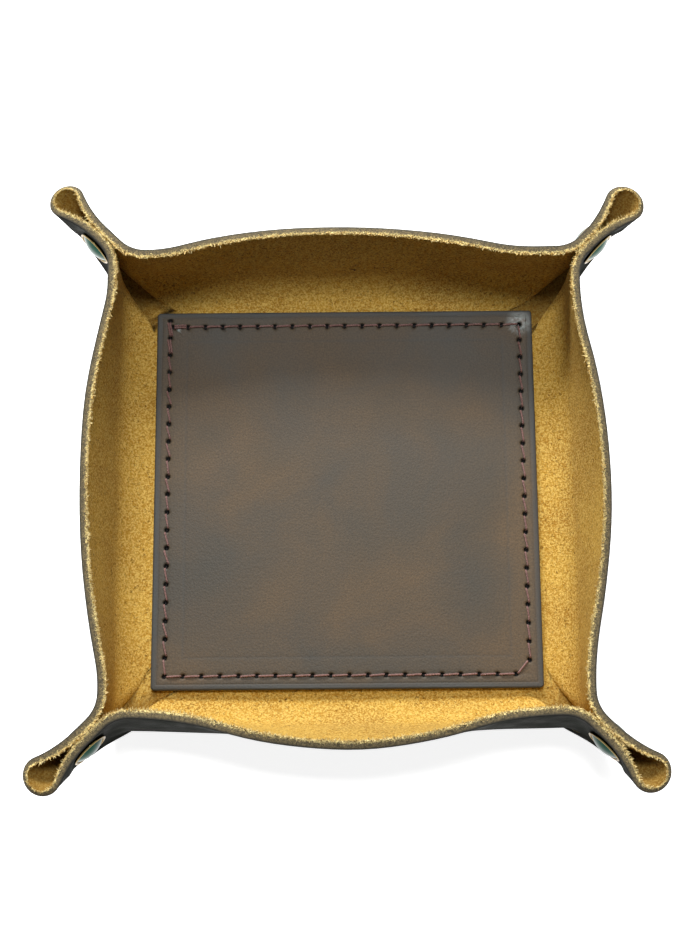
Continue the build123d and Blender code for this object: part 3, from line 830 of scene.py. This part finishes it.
class TRAY_OT_sheet(bpy.types.Operator):
    """Folds the leather sheet, and cuts the part of each ear that peels open"""

    bl_idname = "tray.sheet"
    bl_label = "Folded sheet"

    def execute(self, context):
        grid, across, rows = sheet_faces()
        levels, columns = grid.shape[:2]
        edge_rows = levels - 2 * rows + 1
        faces = ring_faces(levels, columns)
        faces += [tuple(reversed(range(columns))), tuple(range((levels - 1) * columns, levels * columns))]
        bands = np.repeat([0] * (rows - 1) + [2] * edge_rows + [1] * (rows - 1), columns).tolist() + [0, 1]
        whole = mesh_from("whole_sheet", grid.reshape(-1, 3), faces)
        for name in ("waxed_grain", "napped_flesh", "cut_edge"):
            whole.data.materials.append(MATERIALS[name])
        whole.data.polygons.foreach_set("material_index", bands)
        add_share(whole.data, "across", across.ravel())
        bm = bmesh.new()
        bm.from_mesh(whole.data)
        cut_plies(bm)
        bm.to_mesh(whole.data)
        bm.free()
        for name, piece in split_sheet(whole).items():
            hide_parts(attach(piece, name))
        return {"FINISHED"}


def hair(add, given):
    """One bent, tapering tuft of fibre, three-sided."""
    line = add("GeometryNodeCurvePrimitiveLine", {"End": (0, 0, 1)})
    cut = add("GeometryNodeResampleCurve", {"Curve": line, "Count": 4})
    share = add("GeometryNodeSplineParameter").outputs["Factor"]
    square = add("ShaderNodeMath", {0: share, 1: share}, operation="MULTIPLY")
    droop = add("ShaderNodeMath", {0: square, 1: 0.35}, operation="MULTIPLY")
    bent = add("ShaderNodeCombineXYZ", {0: droop, 2: share})
    place = add("ShaderNodeVectorMath", {0: bent, "Scale": given["Length"]}, operation="SCALE")
    curve = add("GeometryNodeSetPosition", {"Geometry": cut, "Position": place})
    taper = add("ShaderNodeMapRange", {0: share, 1: 0.0, 2: 1.0, 3: 1.0, 4: 0.12})
    radius = add("ShaderNodeMath", {0: taper, 1: given["Root"]}, operation="MULTIPLY")
    ring = add("GeometryNodeCurvePrimitiveCircle", {"Resolution": 3, "Radius": 1.0})
    return add("GeometryNodeCurveToMesh", {
        "Curve": curve, "Profile Curve": ring, "Scale": radius, "Fill Caps": True})


def fibre_roots(count):
    """Places, turns and sizes of the tufts along the flesh side of the cut edge, the same on every run."""
    rng = np.random.default_rng(FIBRE_SEED)
    middle = middle_layer()
    normal, up = outward(middle)
    normal, up = normal[-1], up[-1]
    edge = middle[-1]
    gaps = np.linalg.norm(np.roll(edge, -1, axis=0) - edge, axis=1)
    run = np.concatenate([[0], np.cumsum(gaps)])
    at = rng.uniform(0, run[-1], count)
    column = np.clip(np.searchsorted(run, at) - 1, 0, len(edge) - 1)
    share = ((at - run[column]) / gaps[column])[:, None]
    after = (column + 1) % len(edge)
    root, out = (rows[column] * (1 - share) + rows[after] * share for rows in (edge, normal))
    rise = up[column]
    along = np.cross(out, rise)
    thick = (LEATHER / 2 - LOOP_THIN * loop_share()[column])[:, None]
    depth = rng.beta(3.4, 0.9, count)[:, None] * 1.04 * thick
    root = root - out * depth + rise * (EDGE_ROUND * 0.7 * (depth < thick * 0.9)) - rise * 0.1
    lean = rng.normal(0, FIBRE_SPREAD, (count, 3))
    up_share, in_share = FIBRE_LEAN
    way = rise * (up_share + lean[:, :1] * 0.5) - out * (in_share + lean[:, 1:2]) + along * lean[:, 2:]
    way /= np.linalg.norm(way, axis=1, keepdims=True)
    turns = np.array([Vector(w).to_track_quat("Z", "X").to_euler() for w in way])
    size = np.minimum(rng.gamma(4, 0.24, count), FIBRE_MOST)
    return root, turns, np.stack([size, size, size], axis=1)


class TRAY_OT_fibres(bpy.types.Operator):
    """Roughs up the cut edge with loose tufts of fibre"""

    bl_idname = "tray.fibres"
    bl_label = "Loose fibres"

    def execute(self, context):
        sizes = {"Length": context.scene.tray_sizes.fibre, "Root": FIBRE_ROOT * MM}
        tree = instancer("fibres", sizes, hair)
        rows = fibre_roots(context.scene.tray_sizes.fibres)
        names = regions(rows[0])
        for name in sorted(set(names)):
            made = baked(tree, f"{name}_fibres", *(row[names == name] for row in rows), sizes, "raw_fibre")
            attach(made, name)
        return {"FINISHED"}


# The pad

def pad_profile():
    """Insets from the pad's edge and heights over its base, from the underside round to its flat top."""
    full = PAD_TOP - PAD_BASE
    turns = np.linspace(0, pi / 2, 6)
    rounding = [(PAD_ROUND * (1 - cos(a)), full - PAD_ROUND * (1 - sin(a))) for a in turns]
    side = [(0.35, 0.0), (0.08, 0.12), (0.0, 0.5), (-0.05, 1.2), (0.0, 1.9)]
    top = [0.95, 1.25, 1.55, 1.8, 2.0, 2.2, 2.4, 2.6, 2.9, 3.4, 4.0, 4.4, 4.75, 5.05, 5.3, 5.55, 5.85, 6.2,
           6.7, 7.6, 8.8, 10.2, 11.6, 12.1, 12.4, 12.7, 13.2, 14.2]
    return side + rounding + [(inset, full) for inset in top]


def border_steps():
    """Places along one side of the pad as shares of its half, closer together round its corners."""
    ends = [-PAD_HALF + x for x in (0, 0.2, 0.45, 0.75, 1.1, 1.5, 2.1, 2.7)]
    even = np.linspace(-PAD_HALF + 3.3, PAD_HALF - 3.3, BORDER_STEPS)
    return np.array([*ends, *even, *(-x for x in reversed(ends))]) / PAD_HALF


def hole_runs():
    """The holes of each run of stitches, and how its stitches slant, in degrees."""
    h, cut, rear = STITCH_HALF, CORNER_CUT, STITCH_HALF - REAR_SHIFT
    left_pitch = (2 * h + CORNER_SHIFT) / STITCHES
    front = [(-h + SHORT_PITCH * n, -h) for n in range(STITCHES)]
    right = [(h, -h + cut + SHORT_PITCH * n) for n in range(STITCHES - 1)] + [(h, rear)]
    back = [(h - PITCH * n, rear) for n in range(STITCHES)] + [(-h + 1, rear)]
    left = [(-h, h + CORNER_SHIFT - left_pitch * n) for n in range(STITCHES + 1)]
    return [(front, 4), (right, 9), (back, 3), (left, 14), ([front[-1], right[0]], 8)]


def pad_surface(points, inset):
    """Sinks the lines and the holes, raises the wax drops, and gives how deep each point is in a hole."""
    sunk = sum(depth * np.exp(-((inset - margin) / width) ** 2) for margin, width, depth in PAD_LINES)
    top = step(0.6, 1.2, inset)
    holes = np.zeros(len(points))
    for run, _ in hole_runs():
        for x, y in run:
            gap = np.hypot(points[:, 0] - x, points[:, 1] - y)
            holes = np.maximum(holes, 1 - step(*HOLE_RADII, gap))
    drops = np.zeros(len(points))
    for x, y, radius in WAX_DROPS:
        gap = np.hypot(points[:, 0] - x, points[:, 1] - y) / radius
        drops = np.maximum(drops, np.sqrt(np.maximum(1 - gap**2, 0)) * radius)
    holes = holes * (inset > HOLE_INSET)
    wavy = PAD_WAVE * wander(points, PAD_WAVE_SIZE, 8)
    points[:, 2] += top * (wavy - sunk - HOLE_DEPTH * holes + DROP_HEIGHT * drops)
    return holes, drops


def pad_ring(inset, steps):
    """The pad's outline at an inset, with rounded corners."""
    half = PAD_HALF - inset
    radius = max(PAD_CORNER - inset, 0)
    x, y = steps[:-1] * half, np.full(len(steps) - 1, -half)
    ring = np.concatenate([np.column_stack(row) for row in ((x, y), (-y, x), (-x, -y), (y, -x))])
    over = np.abs(ring) - (half - radius)
    both = (over > 0).all(axis=1)
    far = np.maximum(np.hypot(over[both, 0], over[both, 1]), 1e-9)
    ring[both] = np.sign(ring[both]) * ((half - radius) + over[both] * (radius / far)[:, None])
    return ring


def middle_faces(last, start):
    """Faces of the pad's coarse middle. Those at its border take in all the points of the last ring.

    The last ring's points are numbered from last, and the middle's from start.
    """
    count = start - last
    coarse = count // 4 // COARSER
    whole = np.empty((coarse + 1, coarse + 1), int)
    whole[1:-1, 1:-1] = start + np.arange((coarse - 1) ** 2).reshape(coarse - 1, -1)
    border = np.append(np.arange(last, start, COARSER), last)
    for line in (whole[:, 0], whole[-1], whole[::-1, -1], whole[0, ::-1]):
        line[:] = border[:coarse + 1]
        border = border[coarse:]
    faces = []
    for i in range(coarse):
        for j in range(coarse):
            loop = [int(n) for n in (whole[i, j], whole[i + 1, j], whole[i + 1, j + 1], whole[i, j + 1])]
            face = []
            for here, after in zip(loop, loop[1:] + loop[:1]):
                face.append(here)
                if here < start and after < start and (after - here) % count == COARSER:
                    face += [last + (here - last + n) % count for n in range(1, COARSER)]
            faces.append(tuple(face))
    return faces


class TRAY_OT_pad(bpy.types.Operator):
    """Builds the oiled pad with its burnished edge, crease and stitch holes"""

    bl_idname = "tray.pad"
    bl_label = "Floor pad"

    def execute(self, context):
        profile = pad_profile()
        steps = border_steps()
        rings = []
        for inset, height in profile:
            ring = pad_ring(inset, steps)
            rings.append(np.column_stack([ring, np.full(len(ring), PAD_BASE + height)]))
        count = len(ring)
        inner = steps[::COARSER][1:-1] * (PAD_HALF - profile[-1][0])
        grid = np.stack(np.meshgrid(inner, inner, indexing="ij"), axis=-1).reshape(-1, 2)
        points = np.vstack([*rings, np.column_stack([grid, np.full(len(grid), PAD_TOP)])])
        inset = [*(np.full(count, i) for i, _ in profile), PAD_HALF - np.abs(grid).max(axis=1)]
        inset = np.concatenate(inset)
        holes, drops = pad_surface(points, inset)
        start = len(rings) * count
        faces = [tuple(reversed(range(count))), *ring_faces(len(rings), count)]
        faces += middle_faces(start - count, start)
        pad = mesh_from("stitched_pad", points, faces)
        pad.data.materials.append(MATERIALS["pull_up_leather"])
        rim = np.maximum(1 - step(0.8, 3.6, inset), 0.3 * np.exp(-((inset - RULED_MARGIN) / 0.5) ** 2))
        add_share(pad.data, "burnished", rim)
        # How deep each point is in a stitch hole, for the painted shade there
        add_share(pad.data, "hole", holes)
        corner = np.hypot(points[:, 0] - STITCH_HALF, points[:, 1] - STITCH_HALF)
        smear = (1 - step(2.5, 6.5, corner)) * (points.sum(axis=1) > 2 * STITCH_HALF)
        add_share(pad.data, "waxed", np.maximum(0.75 * smear, drops > 0))
        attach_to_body(pad, "tray")
        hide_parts("floor_pad")
        return {"FINISHED"}


# The stitching

def stitch_table():
    """Middle, turn, slant and length of every stitch on the top of the pad."""
    rows = []
    for run, slant in hole_runs():
        for first, last in zip(run, run[1:]):
            span = np.subtract(last, first)
            middle = np.add(first, last) / 2
            rows.append((*middle, atan2(span[1], span[0]), radians(slant), np.hypot(*span)))
    return rows


def stitch(add, given):
    """One stitch of two plies twisted together, arched over the pad and diving into its holes."""
    half = add("ShaderNodeMath", {0: given["Pitch"], 1: 0.5}, operation="MULTIPLY")
    twist, ply = (
        add("ShaderNodeMath", {0: given["Thread"], 1: share}, operation="MULTIPLY") for share in PLY_SHARES)
    helix = add("GeometryNodeCurveSpiral", {
        "Resolution": 8, "Rotations": PLY_TURNS, "Start Radius": twist, "End Radius": twist,
        "Height": given["Pitch"]})
    other = add("GeometryNodeTransform", {"Geometry": helix, "Rotation": (0, 0, pi)})
    plies = add("GeometryNodeJoinGeometry", {0: [helix, other]})
    where = add("ShaderNodeSeparateXYZ", {0: add("GeometryNodeInputPosition")}).outputs
    along = add("ShaderNodeMath", {0: where[2], 1: half}, operation="SUBTRACT")
    share = add("ShaderNodeMath", {0: along, 1: half}, operation="DIVIDE")
    square = add("ShaderNodeMath", {0: share, 1: share}, operation="MULTIPLY")
    arch = add("ShaderNodeMath", {0: 1.0, 1: square}, operation="SUBTRACT")
    rise = add("ShaderNodeMath", {0: given["Rise"], 1: arch}, operation="MULTIPLY")
    apart = add("ShaderNodeMath", {0: share}, operation="ABSOLUTE")
    steep = add("ShaderNodeMath", {0: apart, 1: 14.0}, operation="POWER")
    dive = add("ShaderNodeMath", {0: given["Dive"], 1: steep}, operation="MULTIPLY")
    lift = add("ShaderNodeMath", {0: rise, 1: dive}, operation="SUBTRACT")
    reach = add("ShaderNodeMath", {0: along, 1: given["Reach"]}, operation="MULTIPLY")
    height = add("ShaderNodeMath", {0: where[1], 1: lift}, operation="ADD")
    lay = add("ShaderNodeCombineXYZ", {0: reach, 1: where[0], 2: height})
    bent = add("GeometryNodeSetPosition", {"Geometry": plies, "Position": lay})
    ring = add("GeometryNodeCurvePrimitiveCircle", {"Resolution": 5, "Radius": ply})
    return add("GeometryNodeCurveToMesh", {"Curve": bent, "Profile Curve": ring, "Fill Caps": True})


class TRAY_OT_thread(bpy.types.Operator):
    """Sews the pad down with twisted thread, over the pad and under the floor"""

    bl_idname = "tray.thread"
    bl_label = "Stitching"

    def execute(self, context):
        sizes = context.scene.tray_sizes
        rng = np.random.default_rng(THREAD_SEED)
        points, turns, scales = [], [], []
        rest = PAD_TOP + sizes.thread / MM * 0.25
        for x, y, turn, slant, length in stitch_table():
            slant *= rng.uniform(*SLANT_SHARES)
            doubled = x < -STITCH_HALF + PITCH and y > STITCH_HALF - 2 * PITCH
            for side in ((-DOUBLED, DOUBLED) if doubled else (0,)):
                points.append((x - sin(turn) * side, y + cos(turn) * side, rest + abs(side) / 3))
                turns.append((0, 0, turn + slant))
                scales.append((length / PITCH, 1, rng.uniform(*THICKNESSES)))
        for x, y, turn, slant, length in stitch_table():
            points.append((x, y, UNDER_HEIGHT))
            turns.append((pi, 0, turn + slant / 2))
            scales.append((length / PITCH, 1, UNDER_THICKNESS))
        inputs = {
            "Thread": sizes.thread, "Pitch": PITCH * MM, "Rise": sizes.stitch_rise, "Dive": STITCH_DIVE * MM,
            "Reach": STITCH_REACH}
        tree = instancer("stitches", inputs, stitch, smooth=True)
        thread = baked(tree, "saddle_stitches", points, turns, scales, inputs, "waxed_thread")
        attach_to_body(thread, "tray")
        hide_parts("pad_thread")
        return {"FINISHED"}


# The press studs

def cap_profile():
    """Radius, height and wear of a cap's outline, from its rim on the leather up to its dome."""
    roll = [
        (CAP_RADIUS - CAP_ROLL + CAP_ROLL * cos(a), CAP_ROLL + CAP_ROLL * sin(a), 0.2 + 0.6 * max(sin(a), 0))
        for a in np.linspace(-pi / 2, 0.8 * pi, 14)
    ]
    base, low = CAP_RADIUS - 2.05 * CAP_ROLL, 0.62 * CAP_ROLL
    rise = CAP_HEIGHT - low
    dome = (base**2 + rise**2) / (2 * rise)
    start = acos((dome - rise) / dome)
    face = [
        (dome * sin(a), CAP_HEIGHT - dome + dome * cos(a), 0.0)
        for a in np.linspace(start, 0, 14)[:-1]
    ]
    return roll + [(base + 0.06, low - 0.03, 0.25)] + face


def turned(profile, steps, top):
    """A closed dome turned about the Z axis, from radius, height and wear, with a point at its top."""
    points, wear = [], []
    for radius, height, worn in profile:
        for n in range(steps):
            angle = 2 * pi * n / steps
            points.append((radius * cos(angle), radius * sin(angle), height))
            wear.append(worn)
    points.append((0, 0, top))
    wear.append(0)
    faces = ring_faces(len(profile), steps)
    last = (len(profile) - 1) * steps
    faces += [(last + n, last + (n + 1) % steps, len(points) - 1) for n in range(steps)]
    faces.append(tuple(reversed(range(steps))))
    return points, wear, faces


def dress(name, material):
    """Gives a node of the frame a material."""
    piece = frame["nodes"][name]
    if not piece.material_slots:
        piece.data.materials.append(None)
    for slot in piece.material_slots:
        slot.link = "OBJECT"
        slot.material = MATERIALS[material]


class TRAY_OT_studs(bpy.types.Operator):
    """Caps the press studs and gives their sockets and studs their metal"""

    bl_idname = "tray.studs"
    bl_label = "Press studs"

    def execute(self, context):
        points, wear, faces = turned(cap_profile(), CAP_STEPS, CAP_HEIGHT)
        points = np.array(points)
        for corner in CORNERS:
            centre, axis, reaches = SNAPS[corner]
            for name, sign, reach in (("fixed_cap", -1, reaches[0]), ("flap_cap", 1, reaches[1])):
                turn = np.array(Vector(axis * sign).to_track_quat("Z", "Y").to_matrix())
                seat = centre + axis * sign * (reach - CAP_HEIGHT)
                made = mesh_from(f"{corner}_{name}_dome", points @ turn.T + seat, faces)
                made.data.materials.append(MATERIALS["antique_brass"])
                add_share(made.data, "worn", wear)
                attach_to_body(made, "tray" if name == "fixed_cap" else f"{corner}_snap")
                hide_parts(f"{corner}_{name}")
            for name in ("socket", "stud"):
                dress(f"{corner}_{name}", "antique_brass")
        return {"FINISHED"}


# The stage

def seen_directly(add):
    """1 where the camera sees the surface itself, also in a mirror or through glass, else 0."""
    path = add("ShaderNodeLightPath").outputs
    mirrored = add("ShaderNodeMath", {
        0: path["Is Glossy Ray"], 1: path["Is Transmission Ray"]}, operation="MAXIMUM")
    return add("ShaderNodeMath", {0: path["Is Camera Ray"], 1: mirrored}, operation="MAXIMUM")


def camera():
    """The camera at the photograph's viewing angle."""
    elevation, azimuth, roll = (radians(a) for a in (CAMERA_ELEVATION, CAMERA_AZIMUTH, CAMERA_ROLL))
    back = Vector((sin(azimuth) * cos(elevation), -cos(azimuth) * cos(elevation), sin(elevation)))
    right = (-back).cross(Vector((0, 0, 1))).normalized()
    up = right.cross(-back)
    turned_right = right * cos(roll) + up * sin(roll)
    turned_up = up * cos(roll) - right * sin(roll)
    data = bpy.data.cameras.new("photo_camera")
    data.sensor_width = SENSOR
    data.lens = CAMERA_FOCAL_PIXELS / PHOTO_HEIGHT * SENSOR
    made = bpy.data.objects.new("photo_camera", data)
    place = Vector((*CAMERA_TARGET, 0)) * MM + back * CAMERA_DISTANCE * MM
    turn = Matrix((turned_right, turned_up, back)).transposed()
    made.matrix_world = Matrix.Translation(place) @ turn.to_4x4()
    bpy.context.scene.collection.objects.link(made)
    return made


class TRAY_OT_stage(bpy.types.Operator):
    """Lays the floor, hangs the lamps and sets the camera"""

    bl_idname = "tray.stage"
    bl_label = "Stage"

    def execute(self, context):
        corners = np.array([(-1, -1, 0), (1, -1, 0), (1, 1, 0), (-1, 1, 0)]) * FLOOR_REACH
        floor = mesh_from("floor", corners, [(0, 1, 2, 3)])
        material, add, place = blank("matt_white_floor")
        seen = seen_directly(add)
        base = painted(add, "#5A5A58", (seen, context.scene.tray_colours.floor))
        away = add("ShaderNodeVectorMath", {0: place}, operation="LENGTH").outputs["Value"]
        near = add("ShaderNodeMapRange", dict(enumerate((away, *GLOW_REACH, *GLOW))))
        glow = add("ShaderNodeMath", {0: seen, 1: near}, operation="MULTIPLY")
        floor.data.materials.append(coated(
            material, add, Base_Color=base, Roughness=0.9, Emission_Color=(1, 1, 1, 1),
            Emission_Strength=glow))
        world = bpy.data.worlds.new("studio")
        context.scene.world = world
        world.use_nodes = True
        world.node_tree.nodes.clear()
        add = partial(node, world.node_tree)
        strength = add("ShaderNodeMapRange", {0: seen_directly(add), 3: SKY, 4: 1.0})
        sky = add("ShaderNodeBackground", {"Color": (1, 1, 1, 1), "Strength": strength})
        add("ShaderNodeOutputWorld", {"Surface": sky})
        for name, place, size, power in LAMPS:
            data = bpy.data.lights.new(name, "AREA")
            data.shape = "RECTANGLE"
            data.size, data.size_y = size
            data.energy = power
            lamp = bpy.data.objects.new(name, data)
            lamp.location = place
            lamp.rotation_euler = (Vector(LAMP_TARGET) - Vector(place)).to_track_quat("-Z", "Y").to_euler()
            context.scene.collection.objects.link(lamp)
        context.scene.camera = camera()
        context.scene.view_settings.view_transform = "Standard"
        return {"FINISHED"}


STEPS = (
    TRAY_OT_materials, TRAY_OT_sheet, TRAY_OT_fibres, TRAY_OT_pad, TRAY_OT_thread, TRAY_OT_studs,
    TRAY_OT_stage)


class TRAY_PT_panel(bpy.types.Panel):
    """The tray's steps, sizes and colours"""

    bl_label = "Valet Tray"
    bl_idname = "TRAY_PT_panel"
    bl_space_type = "VIEW_3D"
    bl_region_type = "UI"
    bl_category = "Valet Tray"

    def draw(self, context):
        for made in STEPS:
            self.layout.operator(made.bl_idname)
        for group in (context.scene.tray_sizes, context.scene.tray_colours):
            for name in group.__annotations__:
                self.layout.prop(group, name)


CLASSES = (TraySizes, TrayColours, *STEPS, TRAY_PT_panel)


def register():
    for made in CLASSES:
        bpy.utils.register_class(made)
    bpy.types.Scene.tray_sizes = bpy.props.PointerProperty(type=TraySizes)
    bpy.types.Scene.tray_colours = bpy.props.PointerProperty(type=TrayColours)


def unregister():
    del bpy.types.Scene.tray_colours
    del bpy.types.Scene.tray_sizes
    for made in reversed(CLASSES):
        bpy.utils.unregister_class(made)


def main():
    register()
    for made in STEPS:
        group, name = made.bl_idname.split(".")
        getattr(getattr(bpy.ops, group), name)()


if __name__ == "__main__":
    main()
